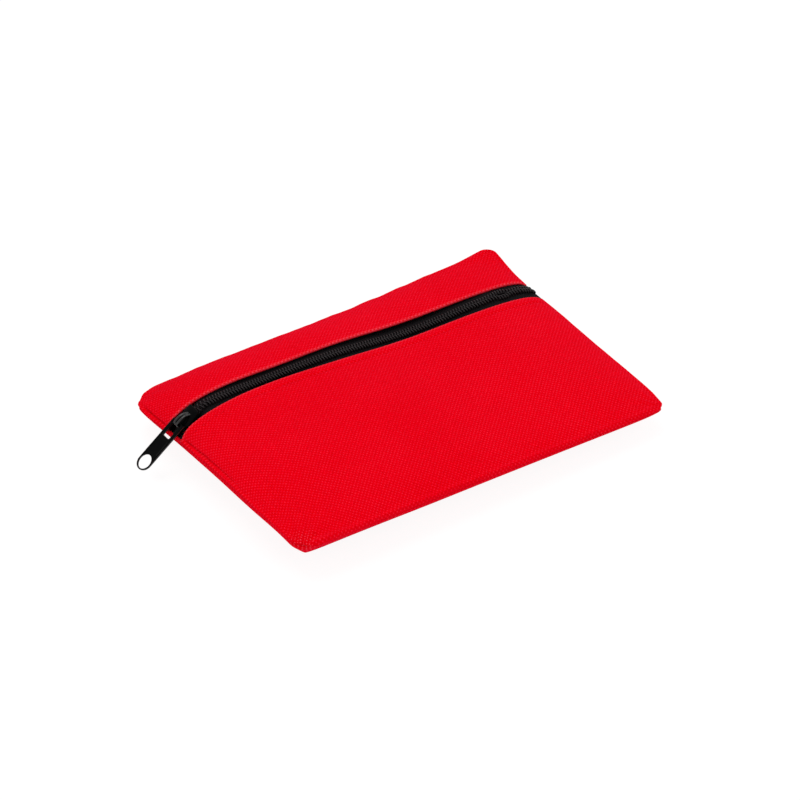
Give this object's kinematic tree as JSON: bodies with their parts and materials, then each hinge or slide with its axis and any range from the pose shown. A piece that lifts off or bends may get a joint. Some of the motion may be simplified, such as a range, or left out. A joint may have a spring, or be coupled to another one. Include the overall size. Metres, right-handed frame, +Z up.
{
  "type": "first aid kit",
  "caption": "Flat zipped red cloth pouch with a black coil zip along its length and a hanging pull tab, packed with wrapped dressings, a bandage, tape, scissors and safety pins.",
  "frame": {"origin": "centre of the flat underside of the pouch, on the surface that it rests on", "axes": "+X along the zip from its closed end with the slider, +Y from the front seam to the back seam, +Z up"},
  "size_m": [0.1854, 0.1196, 0.0256],
  "materials": {
    "red_cloth": "woven polyester",
    "black_webbing": "woven tape",
    "black_nylon": "nylon monofilament coil",
    "black_enamel": "gloss enamel",
    "white_paper": "folded paper",
    "white_gauze": "cotton gauze",
    "white_wrapper": "sealed paper wrapper",
    "foil_wrapper": "sealed foil sachet",
    "white_plastic": "moulded",
    "black_plastic": "moulded",
    "bright_steel": "polished"
  },
  "bodies": {
    "pouch": {"back_panel": "red_cloth", "rear_panel": "red_cloth", "seam_binding": "black_webbing", "zip_tape_rear": "black_webbing", "zip_coil_rear": "black_nylon", "leaflet": "white_paper", "bandage_roll": "white_gauze", "tape_spool": "white_plastic", "tape_winding": "white_gauze", "plaster_1": "white_wrapper", "plaster_2": "white_wrapper", "plaster_3": "white_wrapper", "plaster_4": "white_wrapper", "plaster_5": "white_wrapper", "plaster_6": "white_wrapper", "compress_packet_1": "white_wrapper", "compress_packet_2": "white_wrapper", "wipe_sachet_1": "foil_wrapper", "wipe_sachet_2": "foil_wrapper", "gauze_pad": "white_gauze", "scissors_blade_fixed": "bright_steel", "scissors_grip_fixed": "black_plastic", "scissors_rivet": "bright_steel", "safety_pin_1": "bright_steel", "safety_pin_cap_1": "bright_steel", "safety_pin_2": "bright_steel", "safety_pin_cap_2": "bright_steel"},
    "slider": {"slider_body": "black_enamel"},
    "tab": {"pull_tab": "black_enamel"},
    "front_flap": {"front_panel": "red_cloth", "zip_tape_front": "black_webbing", "zip_coil_front": "black_nylon"},
    "scissors_half": {"scissors_blade_moving": "bright_steel", "scissors_grip_moving": "black_plastic"}
  },
  "joints": [
    {"name": "zip_slide", "type": "hinge", "parent": "pouch", "child": "slider", "pos_m": [-0.00465, 0.028, -0.15895], "axis": [0, 1, 0], "range_deg": [0, 45.2], "deforming": ["zip_tape_front", "zip_tape_rear", "zip_coil_front", "zip_coil_rear"]},
    {"name": "tab_swing", "type": "hinge", "parent": "slider", "child": "tab", "pos_m": [-0.08219, 0.028, 0.01967], "axis": [0, 1, 0], "range_deg": [0, 172]},
    {"name": "flap_lift", "type": "hinge", "parent": "pouch", "child": "front_flap", "pos_m": [0, -0.0594, 0.013], "axis": [1, 0, 0], "range_deg": [0, 15]},
    {"name": "scissors_open", "type": "hinge", "parent": "pouch", "child": "scissors_half", "pos_m": [0.016, -0.022, 0.0042], "axis": [0, 0, -1], "range_deg": [0, 26]}
  ],
  "couplings": [
    {"joint": "flap_lift", "follows": "zip_slide", "ratio": 0.33}
  ]
}
